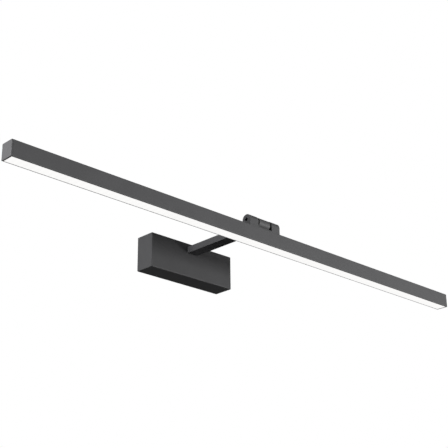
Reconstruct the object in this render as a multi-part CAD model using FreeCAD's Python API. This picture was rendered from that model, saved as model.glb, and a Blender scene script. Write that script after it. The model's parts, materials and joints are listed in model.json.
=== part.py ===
"""Wall-mounted linear LED picture light: wall box, square arm, friction hinge and a slim lamp bar.

Row frame: millimetres, +Z up, +X along the lamp bar, +Y into the wall.
The origin is the centre of the wall box on the wall plane, so the light reaches out towards -Y.
"""
import FreeCAD, Part
import math
import os

Vec = FreeCAD.Vector

# Driving dimensions -----------------------------------------------------------------------

lamp_length = 800.0
lamp_depth = 19.0
lamp_height = 20.6
box_length = 151.0
box_height = 50.0
box_depth = 30.5
reach = 151.0            # from the box front to the lamp front
arm_width = 19.0
arm_height = 9.6
arm_above_box_centre = 15.3
pivot_above_lamp = 12.9  # from the lamp's top face to the hinge axis
pivot_behind_front = 14.5
hinge_half_width = 28.2
slot_half_width = 12.7
hinge_radius = 7.4       # of the ears' round shape, about the hinge axis
knuckle_radius = 7.1

# Places that follow from them -------------------------------------------------------------

box_front = -box_depth
lamp_front = box_front - reach
lamp_back = lamp_front + lamp_depth
lamp_mid = (lamp_front + lamp_back) / 2
pivot_y = lamp_front + pivot_behind_front
pivot_z = arm_above_box_centre
lamp_top = pivot_z - pivot_above_lamp
lamp_bottom = lamp_top - lamp_height
arm_half = arm_width / 2
arm_half_height = arm_height / 2

# Sheet, wall and clearance sizes ----------------------------------------------------------

gap = 0.1                # between pieces that are fixed to each other
shaft_gap = 0.05         # radial, round a shaft or a screw
touch = 1e-6             # points closer than this are the same
box_wall = 1.5
box_edge = 1.0           # outer edge radius of the box
bracket_sheet = 1.2
flange_depth = 11.0
bracket_end_room = 2.0   # between the bracket's ends and the cover
grommet_wall = 1.6
grommet_lip = 1.8
arm_wall = 1.5
arm_entry_radius = 3.0   # hole in the cover that the arm's lead passes
arm_bush_radius = 2.55
arm_edge = 0.7
knuckle_back = pivot_y + 8.5
spigot_length = 14.0
foot_length = 15.0
foot_bore = 2.2          # radius of the lead's way through the foot
backing_sheet = 2.0
spring_washer = 0.8
grub_x = arm_half - 4.5
grub_floor = pivot_z + 2.0
grub_sink = 0.3          # how far the grub screws lie below the arm's top

# Hinge saddle ------------------------------------------------------------------------------

hinge_front = pivot_y - hinge_radius
hinge_back = pivot_y + hinge_radius
hinge_edge = 0.6
hinge_floor = 4.9
hinge_relief = 0.6       # how far behind the axis the floor starts to fall away
hinge_fall = 0.75        # slope of that fall, so the lamp can turn in under the arm
slot_corner = 1.0
knuckle_half = 10.2
washer_radius = 4.6
washer_thickness = 1.15
wave_sheet = 0.5

# Lamp section, measured down from its top face ---------------------------------------------

lamp_roof = 2.0
lamp_side = 1.4
lamp_edge = 0.8          # outer edge radius of the profile and the caps
saddle_back = lamp_back - lamp_edge
tape_thickness = 0.2
board_thickness = 1.0
board_top = lamp_roof + tape_thickness
board_bottom = board_top + board_thickness
rail_height = 0.8        # ledges that hold the LED board's edges
rail_reach = 0.8
catch_top = 15.8         # ledges that the diffuser snaps over
catch_height = 0.8
catch_reach = 0.7
hook_height = 0.9        # how far the diffuser's hooks stand above the ledges
diffuser_recess = 0.2
diffuser_thickness = 1.8
cap_thickness = 2.0
plug_length = 7.0
plug_wall = 2.2
leg_thickness = 1.0      # of the diffuser's legs
hook_reach = 0.5
board_half_width = 7.9
board_end_gap = 8.5

# Screws, leads and pivots -----------------------------------------------------------------

pivot_thread_radius = 2.5
pivot_point_radius = 2.0
pivot_screw_recess = 0.5
hollow_pivot_radius = 2.8
hollow_pivot_bore = 1.75
hollow_pivot_start = 5.0
hollow_pivot_end = 18.0
lead_radius = 1.4
lead_rise_x = 67.5       # where the lead climbs at the box's right-hand end
lead_cross_y = -9.0      # how far out it runs back to the middle
lead_bend = 5.0          # where the lead turns in the hinge
lead_drop = 23.5         # x of the lead's way down into the lamp
connector_x = (31.0, 41.0)
bush_radius = 2.6
wire_radius = 0.9
small_screw_radius = 1.5
small_screw_hole = 1.55  # tapped hole
small_screw_pass = 1.7   # clearance hole
earth_screw_radius = 2.0
terminal_screw_radius = 1.25
cover_head = (2.8, 1.7)  # head radius and height of each kind of screw
arm_head = (2.5, 1.9)
saddle_head = (2.5, 1.7)
earth_head = (3.6, 2.2)
terminal_head = (2.2, 1.4)
cover_screw_x = 50.0
cover_screw_y = -6.5
arm_screw_x = 5.2
bracket_screw_x = 16.5
bracket_screw_y = pivot_y + 0.3
wall_slot_spacing = 70.0
wall_slot_radius = 2.25
wall_slot_length = 12.0
cable_hole_radius = 4.0

# Electrical pieces in the box -------------------------------------------------------------

driver_x = (-24.0, 60.0)
driver_y = (-28.4, -11.4)
driver_z = (-22.6, -2.6)
driver_wall = 1.4
terminal_x = (-67.0, -37.0)
terminal_y = (-15.0, -bracket_sheet)
terminal_z = (-19.0, -3.0)
terminal_poles = 3
terminal_wire_y = -9.0
terminal_seat_y = -8.0   # under the fixing screw's head
terminal_clamp = 4.0     # from the block's middle to each clamping screw
earth_x = -58.0
earth_z = 13.0
led_pitch = 8.4
led_count = 93
led_row_y = lamp_mid - 1.0
led_half = (1.4, 1.5)
led_tall = 0.8
resistor_half = (1.0, 0.6)
resistor_tall = 0.5
connector_half = 2.1
connector_tall = 4.0
saddle_washer = 0.5
screw_room = 2.9         # round a bracket screw's head and washer
driver_entries = (-14.5, -8.5)
driver_exit = -12.0
driver_wire_y = -20.0    # where leads enter and leave the driver
driver_board_y = (-14.6, -13.1)
transformer_x = 22.0
lug_drop = 9.0           # from the earth screw down to the lug's crimp
lug_sheet = 0.8
lug_y = -bracket_sheet - 1.5

out_folder = "parts"


# Shape helpers ----------------------------------------------------------------------------

def block(x, y, z):
    """A box between pairs of coordinates."""
    size = [hi - lo for lo, hi in (x, y, z)]
    return Part.makeBox(*size, Vec(x[0], y[0], z[0]))


def rod(start, direction, radius, length):
    """A cylinder from a point, along a direction."""
    return Part.makeCylinder(radius, length, Vec(*start), Vec(*direction))


def ring(start, direction, outer, inner, length):
    """A tube or washer."""
    return rod(start, direction, outer, length).cut(rod(start, direction, inner, length))


def centred(half):
    """The pair of coordinates from -half to half."""
    return (-half, half)


def about(middle, half):
    """The pair of coordinates half each side of a middle."""
    return (middle - half, middle + half)


def below(depth):
    """The height that lies a depth below the lamp's top face."""
    return lamp_top - depth


def extrude_x(points, x):
    """A prism along X from (y, z) corners."""
    corners = [Vec(x[0], py, pz) for py, pz in points]
    face = Part.Face(Part.makePolygon(corners + corners[:1]))
    return face.extrude(Vec(x[1] - x[0], 0, 0))


def along(shape, axis):
    """A shape's straight edges that run along one axis, 0, 1 or 2."""
    found = []
    for edge in shape.Edges:
        if not isinstance(edge.Curve, Part.Line):
            continue
        direction = edge.tangentAt(edge.FirstParameter)
        if abs(abs(direction[axis]) - 1) < touch:
            found.append(edge)
    return found


def round_edges(shape):
    """A shape's circular edges."""
    return [edge for edge in shape.Edges if isinstance(edge.Curve, Part.Circle)]


def edges_on(shape, axis, value):
    """A shape's edges that lie wholly in the plane axis = value."""
    found = []
    for edge in shape.Edges:
        if all(abs(vertex.Point[axis] - value) < touch for vertex in edge.Vertexes):
            found.append(edge)
    return found


def hex_socket(start, direction, across, depth):
    """A hexagonal recess, to cut out of a screw head."""
    corner = across / math.sqrt(3)
    turn = FreeCAD.Rotation(Vec(0, 0, 1), Vec(*direction))
    points = []
    for k in range(7):
        angle = math.radians(60 * k)
        flat = Vec(corner * math.cos(angle), corner * math.sin(angle), 0)
        points.append(Vec(*start) + turn.multVec(flat))
    return Part.Face(Part.makePolygon(points)).extrude(Vec(*direction) * depth)


def cross_recess(start, direction, width, depth):
    """A crosshead recess, to cut out of a screw head."""
    turn = FreeCAD.Placement(Vec(*start), FreeCAD.Rotation(Vec(0, 0, 1), Vec(*direction)))
    arm = block(centred(width / 2), centred(width / 8), (0, depth))
    other = block(centred(width / 8), centred(width / 2), (0, depth))
    cross = arm.fuse(other)
    cross.Placement = turn
    return cross


def pan_screw(seat, inward, radius, head_size, length):
    """A pan-head screw: the head's underside is at seat, and the shank goes inward."""
    inward = Vec(*inward)
    seat = Vec(*seat)
    head_radius, head_height = head_size
    shank = Part.makeCylinder(radius, length, seat, inward)
    shank = shank.makeChamfer(radius * 0.3, [edge_at(shank, seat + inward * length)])
    head = Part.makeCylinder(head_radius, head_height, seat, inward * -1)
    top = seat - inward * head_height
    head = head.makeFillet(head_height * 0.45, [edge_at(head, top)])
    recess = cross_recess(top, inward, head_radius, head_height * 0.6)
    return shank.fuse(head).cut(recess).removeSplitter()


def edge_at(shape, centre):
    """The circular edge round a point."""
    for edge in shape.Edges:
        if isinstance(edge.Curve, Part.Circle) and (edge.Curve.Center - centre).Length < touch:
            return edge
    raise ValueError("no circle there")


def swept_lead(points, radius, bends, name):
    """A lead along straight runs joined by tangent arcs; prints its length and volume."""
    points = [Vec(*point) for point in points]
    edges = []
    here = points[0]
    for before, corner, after, bend in zip(points, points[1:], points[2:], bends):
        way_in = (corner - before).normalize()
        way_out = (after - corner).normalize()
        turn = way_in.getAngle(way_out)
        back = bend * math.tan(turn / 2)
        start = corner - way_in * back
        end = corner + way_out * back
        inside = (way_out - way_in).normalize()
        middle = corner + inside * (bend / math.cos(turn / 2) - bend)
        edges.append(Part.LineSegment(here, start).toShape())
        edges.append(Part.Arc(start, middle, end).toShape())
        here = end
    edges.append(Part.LineSegment(here, points[-1]).toShape())
    path = Part.Wire(edges)
    circle = Part.Circle(points[0], points[1] - points[0], radius).toShape()
    tube = path.makePipeShell([Part.Wire(circle)], True, False)
    ratio = tube.Volume / (math.pi * radius ** 2 * path.Length)
    print(f"{name}: {path.Length:.1f} mm long, volume {ratio:.4f} of section times length")
    return tube


# Wall box ---------------------------------------------------------------------------------

def make_box_cover():
    """Five-sided box that covers the wall bracket and carries the arm."""
    half = box_length / 2
    tall = box_height / 2
    outer = block(centred(half), (box_front, 0), centred(tall))
    outer = outer.makeFillet(box_edge, along(outer, 1) + edges_on(outer, 1, box_front))
    inner = block(centred(half - box_wall), (box_front + box_wall, 1), centred(tall - box_wall))
    cover = outer.cut(inner)
    cover = cover.cut(rod((0, box_front - 1, pivot_z), (0, 1, 0), arm_entry_radius, box_wall + 2))
    for side in (-1, 1):
        hole = rod((side * arm_screw_x, box_front - 1, pivot_z), (0, 1, 0), small_screw_pass, box_wall + 2)
        cover = cover.cut(hole)
        start = (side * cover_screw_x, cover_screw_y, tall - box_wall - 1)
        hole = rod(start, (0, 0, 1), small_screw_pass, box_wall + 2)
        cover = cover.cut(hole)
    return cover


def make_wall_bracket():
    """Folded steel channel that is screwed to the wall; the cover screws into its top flange."""
    half = box_length / 2 - box_wall - bracket_end_room
    tall = box_height / 2 - box_wall - gap
    plate = block(centred(half), (-bracket_sheet, 0), centred(tall))
    top = block(centred(half), (-flange_depth, 0), (tall - bracket_sheet, tall))
    bottom = block(centred(half), (-flange_depth, 0), (-tall, bracket_sheet - tall))
    bracket = plate.fuse([top, bottom]).removeSplitter()
    outside = [edge for edge in along(bracket, 0) if abs(edge.Vertexes[0].Point.y) < touch]
    bracket = bracket.makeFillet(bracket_sheet, outside)
    run = (wall_slot_length / 2) - wall_slot_radius
    for side in (-1, 1):
        middle = side * wall_slot_spacing / 2
        slot = block(about(middle, run), (-bracket_sheet - 1, 1), centred(wall_slot_radius))
        for end in (-run, run):
            slot = slot.fuse(rod((middle + end, -bracket_sheet - 1, 0), (0, 1, 0), wall_slot_radius, 4))
        bracket = bracket.cut(slot)
        screw_hole = rod((side * cover_screw_x, cover_screw_y, tall - 3), (0, 0, 1), small_screw_hole, 4)
        bracket = bracket.cut(screw_hole)
    hole = rod((0, -bracket_sheet - 1, 0), (0, 1, 0), cable_hole_radius + grommet_wall, 4)
    bracket = bracket.cut(hole)
    start = (earth_x, -bracket_sheet - 1, earth_z)
    earth_hole = rod(start, (0, 1, 0), earth_screw_radius + shaft_gap, 4)
    bracket = bracket.cut(earth_hole)
    start = (sum(terminal_x) / 2, -bracket_sheet - 1, sum(terminal_z) / 2)
    fixing = rod(start, (0, 1, 0), terminal_screw_radius + shaft_gap, 4)
    return bracket.cut(fixing)


def make_cable_grommet():
    """Rubber grommet round the mains cable's way through the wall bracket."""
    neck = cable_hole_radius + grommet_wall - gap
    face_y = -bracket_sheet - grommet_lip
    outer = rod((0, face_y, 0), (0, 1, 0), neck, -face_y)
    flange = rod((0, face_y, 0), (0, 1, 0), neck + grommet_lip, grommet_lip - gap)
    body = outer.fuse(flange).removeSplitter()
    return body.cut(rod((0, -5, 0), (0, 1, 0), cable_hole_radius, 6))


def make_cover_screws():
    """Two pan-head screws down through the cover into the wall bracket."""
    screws = []
    for side in (-1, 1):
        seat = (side * cover_screw_x, cover_screw_y, box_height / 2)
        screws.append(pan_screw(seat, (0, 0, -1), small_screw_radius, cover_head, 6.0))
    return Part.makeCompound(screws)


def terminal_pitch():
    """The distance from one pole of the terminal block to the next."""
    return (terminal_x[1] - terminal_x[0]) / terminal_poles


def pole_x(index):
    """The middle of one pole of the terminal block."""
    return terminal_x[0] + terminal_pitch() * (index + 0.5)


def make_terminal_block():
    """Three-pole connector on the wall bracket, with a rounded hump over each pole."""
    base_y = (terminal_y[0] + 5.0, terminal_y[1])
    body = block(terminal_x, base_y, terminal_z)
    middle = sum(terminal_z) / 2
    for index in range(terminal_poles):
        hump = block(about(pole_x(index), 3.9), (terminal_y[0], base_y[1] - 1), terminal_z)
        body = body.fuse(hump)
    body = body.removeSplitter()
    for index in range(terminal_poles):
        passage = rod((pole_x(index), terminal_wire_y, terminal_z[0] - 1), (0, 0, 1), 1.6, 20)
        body = body.cut(passage)
        for side in (-1, 1):
            start = (pole_x(index), terminal_y[0] - 1, middle + side * terminal_clamp)
            body = body.cut(rod(start, (0, 1, 0), 2.0, 7.0))
    start = (sum(terminal_x) / 2, -20, middle)
    fixing = rod(start, (0, 1, 0), terminal_screw_radius + shaft_gap, 30)
    well = rod(start, (0, 1, 0), terminal_head[0] + 0.2, terminal_seat_y - start[1])
    return body.cut(fixing).cut(well)


def make_terminal_screws():
    """Two clamping screws in each pole."""
    screws = []
    for index in range(terminal_poles):
        for side in (-1, 1):
            z = sum(terminal_z) / 2 + side * terminal_clamp
            body = rod((pole_x(index), terminal_y[0] + 1.2, z), (0, 1, 0), 1.9, 3.0)
            slot = block(about(pole_x(index), 1.9), (terminal_y[0], terminal_y[0] + 2.0), about(z, 0.3))
            screws.append(body.cut(slot))
    return Part.makeCompound(screws)


def make_terminal_fixing_screw():
    """Small screw that holds the terminal block to the wall bracket."""
    seat = (sum(terminal_x) / 2, terminal_seat_y, sum(terminal_z) / 2)
    return pan_screw(seat, (0, 1, 0), terminal_screw_radius, terminal_head, 8.0)


def make_earth_screw():
    """Earth screw, tapped into the wall bracket."""
    seat = (earth_x, lug_y, earth_z)
    return pan_screw(seat, (0, 1, 0), earth_screw_radius, earth_head, -lug_y)


def make_earth_washer():
    """Toothed washer under the earth lug."""
    sheet = 0.7
    teeth = 12
    bite = earth_head[0] + 0.3
    start = (earth_x, -bracket_sheet - sheet, earth_z)
    washer = ring(start, (0, 1, 0), earth_head[0], earth_screw_radius + shaft_gap, sheet)
    for k in range(teeth):
        angle = math.tau * k / teeth
        x = earth_x + bite * math.cos(angle)
        z = earth_z + bite * math.sin(angle)
        washer = washer.cut(rod((x, -bracket_sheet - 1, z), (0, 1, 0), 0.6, 2))
    return washer


def make_earth_lug():
    """Crimped ring lug on the earth wire."""
    sheet = (lug_y, lug_y + lug_sheet)
    crimp_y = lug_y - wire_radius - gap
    low_z = earth_z - lug_drop
    eye = rod((earth_x, lug_y, earth_z), (0, 1, 0), 3.8, lug_sheet)
    tongue = block(about(earth_x, 1.6), sheet, (low_z, earth_z))
    barrel = rod((earth_x, crimp_y, low_z), (0, 0, 1), wire_radius + 0.6, 5.0)
    keep = block(about(earth_x, 5), (lug_y - 5, sheet[1]), (low_z, earth_z + 5))
    lug = eye.fuse([tongue, barrel]).common(keep)
    lug = lug.cut(rod((earth_x, lug_y - 1, earth_z), (0, 1, 0), earth_screw_radius + shaft_gap, 3))
    lug = lug.cut(rod((earth_x, crimp_y, low_z - 1), (0, 0, 1), wire_radius, 7.0))
    return lug.removeSplitter()


# Driver -----------------------------------------------------------------------------------

def make_driver_case():
    """Moulded tray of the LED driver, open towards the wall."""
    outer = block(driver_x, driver_y, driver_z)
    outer = outer.makeFillet(1.0, edges_on(outer, 1, driver_y[0]) + along(outer, 1))
    inner_x = (driver_x[0] + driver_wall, driver_x[1] - driver_wall)
    inner_z = (driver_z[0] + driver_wall, driver_z[1] - driver_wall)
    case = outer.cut(block(inner_x, (driver_y[0] + driver_wall, driver_y[1] + 1), inner_z))
    for height in driver_entries:
        start = (driver_x[0] - 1, driver_wire_y, height)
        case = case.cut(rod(start, (1, 0, 0), wire_radius + shaft_gap, 4))
    start = (driver_x[1] - 3, driver_wire_y, driver_exit)
    return case.cut(rod(start, (1, 0, 0), lead_radius + shaft_gap, 5))


def make_driver_lid():
    """Flat lid that snaps into the driver tray."""
    inset = driver_wall + gap
    x = (driver_x[0] + inset, driver_x[1] - inset)
    z = (driver_z[0] + inset, driver_z[1] - inset)
    return block(x, (driver_y[1] - driver_wall, driver_y[1]), z)


def make_driver_board():
    """Circuit board in the driver."""
    x = (driver_x[0] + 3.0, driver_x[1] - 3.0)
    z = (driver_z[0] + 2.2, driver_z[1] - 2.2)
    return block(x, driver_board_y, z)


def make_driver_transformer():
    """Transformer: ferrite halves round a taped winding."""
    middle_z = sum(driver_z) / 2
    core = block(about(transformer_x, 7.0), (-25.4, driver_board_y[0]), about(middle_z, 6.4))
    window = block(about(transformer_x, 4.6), (-30, -10), about(middle_z, 3.6))
    return core.cut(window)


def make_driver_winding():
    """The transformer's winding."""
    middle_z = sum(driver_z) / 2
    return block(about(transformer_x, 4.5), (-24.4, -15.2), about(middle_z, 3.5))


def make_driver_capacitors():
    """Electrolytic capacitors lying on the driver board."""
    cans = []
    for x, radius, length in ((-4.0, 4.2, 13.0), (41.0, 3.6, 11.0)):
        start = (x, driver_board_y[0] - radius, sum(driver_z) / 2 - length / 2)
        can = rod(start, (0, 0, 1), radius, length)
        cans.append(can.makeFillet(0.6, round_edges(can)))
    return Part.makeCompound(cans)


def make_driver_tape():
    """Foam tape between the driver and the inside of the cover."""
    x = (driver_x[0] + 6.0, driver_x[1] - 6.0)
    z = (driver_z[0] + 4.0, driver_z[1] - 4.0)
    return block(x, (box_front + box_wall, driver_y[0]), z)


# Arm --------------------------------------------------------------------------------------

def make_arm_tube():
    """Rectangular steel tube from the box to the hinge."""
    y = (knuckle_back, box_front)
    z = about(pivot_z, arm_half_height)
    outer = block(centred(arm_half), y, z)
    outer = outer.makeFillet(arm_edge, along(outer, 1))
    inner_z = about(pivot_z, arm_half_height - arm_wall)
    inner = block(centred(arm_half - arm_wall), (y[0] - 1, y[1] + 1), inner_z)
    tube = outer.cut(inner)
    for y_hole in grub_places():
        tube = tube.cut(rod((grub_x, y_hole, pivot_z), (0, 0, 1), small_screw_radius + shaft_gap, 8))
    return tube


def grub_places():
    """Where grub screws lock the knuckle's spigot and the foot in the tube."""
    return (knuckle_back + spigot_length * 0.55, box_front - foot_length * 0.6)


def make_arm_foot():
    """Steel plug in the tube's wall end, tapped for the two screws from inside the box."""
    half = arm_half - arm_wall - gap
    tall = arm_half_height - arm_wall - gap
    foot = block(centred(half), (box_front - foot_length, box_front), about(pivot_z, tall))
    foot = foot.cut(rod((0, box_front - foot_length - 1, pivot_z), (0, 1, 0), foot_bore, foot_length + 2))
    for side in (-1, 1):
        start = (side * arm_screw_x, box_front - 10.0, pivot_z)
        foot = foot.cut(rod(start, (0, 1, 0), small_screw_radius + shaft_gap, 11))
    hole = rod((grub_x, grub_places()[1], grub_floor), (0, 0, 1), small_screw_hole, 4)
    return foot.cut(hole)


def make_arm_backing_plate():
    """Stiffening plate inside the box, behind the arm."""
    y = (box_front + box_wall, box_front + box_wall + backing_sheet)
    plate = block(centred(17.0), y, about(pivot_z, 6.5))
    plate = plate.makeFillet(2.0, along(plate, 1))
    plate = plate.cut(rod((0, y[0] - 1, pivot_z), (0, 1, 0), arm_bush_radius + shaft_gap, 5))
    for side in (-1, 1):
        plate = plate.cut(rod((side * arm_screw_x, y[0] - 1, pivot_z), (0, 1, 0), small_screw_pass, 5))
    return plate


def make_arm_grommet():
    """Bush that guards the lead where it passes from the box into the arm."""
    start = (0, box_front, pivot_z)
    return ring(start, (0, 1, 0), arm_bush_radius, lead_radius + shaft_gap, box_wall + backing_sheet)


def make_arm_screws():
    """Two screws from inside the box into the arm's foot."""
    screws = []
    seat_y = box_front + box_wall + backing_sheet + spring_washer
    for side in (-1, 1):
        seat = (side * arm_screw_x, seat_y, pivot_z)
        screws.append(pan_screw(seat, (0, -1, 0), small_screw_radius, arm_head, 12.0))
    return Part.makeCompound(screws)


def make_arm_spring_washers():
    """Split washers under the arm screws' heads."""
    washers = []
    y = box_front + box_wall + backing_sheet
    for side in (-1, 1):
        start = (side * arm_screw_x, y, pivot_z)
        washer = ring(start, (0, 1, 0), arm_head[0], small_screw_radius + shaft_gap, spring_washer)
        slit = block(about(side * arm_screw_x, 0.25), (y - 1, y + 2), (pivot_z, pivot_z + 4))
        washers.append(washer.cut(slit))
    return Part.makeCompound(washers)


def make_arm_grub_screws():
    """Grub screws, flush in the arm's top, that lock the knuckle and the foot."""
    screws = []
    for y in grub_places():
        start = (grub_x, y, grub_floor)
        length = pivot_z + arm_half_height - grub_floor - grub_sink
        body = rod(start, (0, 0, 1), small_screw_radius, length)
        top = (start[0], start[1], start[2] + length)
        screws.append(body.cut(hex_socket(top, (0, 0, -1), 1.5, 1.3)))
    return Part.makeCompound(screws)


def wire_way(pole, height, descent, entry):
    """The corners of a supply wire's way from its pole, over and down into the driver."""
    return [
        (pole, terminal_wire_y, terminal_z[1] - 4.0),
        (pole, terminal_wire_y, height),
        (descent, -14.0, height),
        (descent, driver_wire_y, entry),
        (driver_x[0] + driver_wall + 0.8, driver_wire_y, entry),
    ]


def make_live_wire():
    """Live wire from the terminal block to the driver."""
    points = wire_way(pole_x(2), 3.4, -31.5, driver_entries[0])
    return swept_lead(points, wire_radius, (3.5, 3.5, 3.5), "live_wire")


def make_neutral_wire():
    """Neutral wire from the terminal block to the driver."""
    points = wire_way(pole_x(0), 8.0, -28.5, driver_entries[1])
    return swept_lead(points, wire_radius, (6.0, 5.0, 2.5), "neutral_wire")


def make_earth_wire():
    """Green and yellow wire from the terminal block to the earth lug."""
    y = lug_y - wire_radius - gap
    points = [
        (pole_x(1), terminal_wire_y, terminal_z[1] - 4.0),
        (pole_x(1), terminal_wire_y, -0.5),
        (earth_x, y, 2.5),
        (earth_x, y, earth_z - 4.5),
    ]
    return swept_lead(points, wire_radius, (2.5, 2.5), "earth_wire")


# Hinge ------------------------------------------------------------------------------------

def make_hinge_knuckle():
    """Die-cast end of the arm: it holds both pivots and turns the lead through a right angle."""
    neck = block(centred(arm_half), (pivot_y, knuckle_back), about(pivot_z, arm_half_height))
    neck = neck.makeFillet(arm_edge, along(neck, 1))
    barrel = rod((-knuckle_half, pivot_y, pivot_z), (1, 0, 0), knuckle_radius, 2 * knuckle_half)
    barrel = barrel.makeFillet(hinge_edge, round_edges(barrel))
    half = arm_half - arm_wall - gap
    tall = arm_half_height - arm_wall - gap
    spigot = block(centred(half), (knuckle_back - 1, knuckle_back + spigot_length), about(pivot_z, tall))
    knuckle = barrel.fuse([neck, spigot]).removeSplitter()
    room = lead_radius + 0.5
    chamber = block((-room, hollow_pivot_start), (pivot_y - room, pivot_y + 7.0), about(pivot_z, room))
    passage = rod((0, pivot_y, pivot_z), (0, 1, 0), room, 60)
    knuckle = knuckle.cut(chamber).cut(passage)
    knuckle = knuckle.cut(rod((0, pivot_y, pivot_z), (1, 0, 0), hollow_pivot_radius + shaft_gap, 20))
    knuckle = knuckle.cut(rod((-3.5, pivot_y, pivot_z), (-1, 0, 0), pivot_point_radius + shaft_gap, 20))
    hole = rod((grub_x, grub_places()[0], grub_floor), (0, 0, 1), small_screw_hole, 4)
    return knuckle.cut(hole)


def make_pivot_screw():
    """Headless socket screw in the left ear; its plain point is the left-hand pivot."""
    start = -hinge_half_width + pivot_screw_recess
    shoulder = -slot_half_width - 1.0
    thread = rod((start, pivot_y, pivot_z), (1, 0, 0), pivot_thread_radius, shoulder - start)
    point = rod((shoulder - 1, pivot_y, pivot_z), (1, 0, 0), pivot_point_radius, -4.0 - shoulder + 1)
    screw = thread.fuse(point).removeSplitter()
    return screw.cut(hex_socket((start, pivot_y, pivot_z), (1, 0, 0), 2.5, 3.0))


def make_hollow_pivot():
    """Hollow right-hand pivot, fixed in the knuckle, which the lead passes through."""
    start = (hollow_pivot_start, pivot_y, pivot_z)
    length = hollow_pivot_end - hollow_pivot_start
    return ring(start, (1, 0, 0), hollow_pivot_radius, hollow_pivot_bore, length)


def make_wave_washer():
    """Dished spring washer against the left ear, which keeps the hinge stiff."""
    inner = pivot_point_radius + gap
    outer = washer_radius
    left = -slot_half_width + shaft_gap
    right = -knuckle_half - shaft_gap - washer_thickness - shaft_gap
    corners = [
        Vec(left, inner, 0),
        Vec(left + wave_sheet, inner, 0),
        Vec(right, outer, 0),
        Vec(right - wave_sheet, outer, 0),
    ]
    face = Part.Face(Part.makePolygon(corners + corners[:1]))
    washer = face.revolve(Vec(0, 0, 0), Vec(1, 0, 0), 360)
    washer.translate(Vec(0, pivot_y, pivot_z))
    return washer


def make_spacer_washer():
    """Flat steel washer against the right ear."""
    start = (knuckle_half + shaft_gap + washer_thickness + shaft_gap, pivot_y, pivot_z)
    length = slot_half_width - shaft_gap - start[0]
    return ring(start, (1, 0, 0), washer_radius, hollow_pivot_radius + gap, length)


def make_friction_washers():
    """Nylon washers that stay on the knuckle, one each side."""
    left_x = -knuckle_half - shaft_gap - washer_thickness
    sides = ((left_x, pivot_point_radius), (knuckle_half + shaft_gap, hollow_pivot_radius))
    washers = []
    for x, radius in sides:
        start = (x, pivot_y, pivot_z)
        washers.append(ring(start, (1, 0, 0), washer_radius, radius + gap, washer_thickness))
    return Part.makeCompound(washers)


def saddle_side():
    """The ears' outline: straight in front, round about the axis, and sloping in to the lamp's back."""
    foot = Vec(0, saddle_back, lamp_top)
    axis = Vec(0, pivot_y, pivot_z)
    span = foot - axis
    turn = math.atan2(span.z, span.y) + math.acos(hinge_radius / span.Length)
    touching = axis + Vec(0, math.cos(turn), math.sin(turn)) * hinge_radius
    shoulder = Vec(0, hinge_front, pivot_z)
    toe = Vec(0, hinge_front, lamp_top)
    edges = [
        Part.LineSegment(toe, shoulder).toShape(),
        Part.Arc(shoulder, axis + Vec(0, 0, hinge_radius), touching).toShape(),
        Part.LineSegment(touching, foot).toShape(),
        Part.LineSegment(foot, toe).toShape(),
    ]
    return Part.Face(Part.Wire(edges))


def make_hinge_bracket():
    """Die-cast saddle on the lamp: two ears, rounded above, joined by a low floor."""
    side = saddle_side()
    side.translate(Vec(-hinge_half_width, 0, 0))
    body = side.extrude(Vec(2 * hinge_half_width, 0, 0))
    ends = edges_on(body, 0, -hinge_half_width) + edges_on(body, 0, hinge_half_width)
    body = body.makeFillet(hinge_edge, [edge for edge in ends if edge.BoundBox.ZMax > lamp_top + 1])
    floor_top = lamp_top + hinge_floor
    slot_y = (hinge_front - 1, hinge_back + 1)
    slot = block(centred(slot_half_width), slot_y, (floor_top, pivot_z + hinge_radius + 1))
    lower = [edge for edge in along(slot, 1) if abs(edge.Vertexes[0].Point.z - floor_top) < touch]
    slot = slot.makeFillet(slot_corner, lower)
    fall_y = pivot_y + hinge_relief
    fall_end = hinge_back + 1
    fall = [
        (fall_y, floor_top + 1),
        (fall_y, floor_top),
        (fall_end, floor_top - (fall_end - fall_y) * hinge_fall),
        (fall_end, floor_top + 1),
    ]
    bracket = body.cut(slot).cut(extrude_x(fall, centred(slot_half_width)))
    left = (-hinge_half_width - 1, pivot_y, pivot_z)
    length = hinge_half_width - slot_half_width + 2
    bracket = bracket.cut(rod(left, (1, 0, 0), pivot_thread_radius + shaft_gap, length))
    right = (slot_half_width - 1, pivot_y, pivot_z)
    length = hollow_pivot_end - slot_half_width + 1.3
    bracket = bracket.cut(rod(right, (1, 0, 0), hollow_pivot_radius + shaft_gap, length))
    room = lead_radius + 0.5
    turn_z = (pivot_z - 7.0, pivot_z + room)
    turn = block((hollow_pivot_end, lead_drop + room), about(pivot_y, room), turn_z)
    shaft = rod((lead_drop, pivot_y, lamp_top - 1), (0, 0, 1), room, pivot_z - 6.0 - lamp_top + 1)
    bracket = bracket.cut(turn).cut(shaft)
    for side in (-1, 1):
        start = (side * bracket_screw_x, bracket_screw_y, lamp_top - 1)
        bracket = bracket.cut(rod(start, (0, 0, 1), small_screw_hole, 7.0))
    return bracket


# Lamp bar ---------------------------------------------------------------------------------

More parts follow.
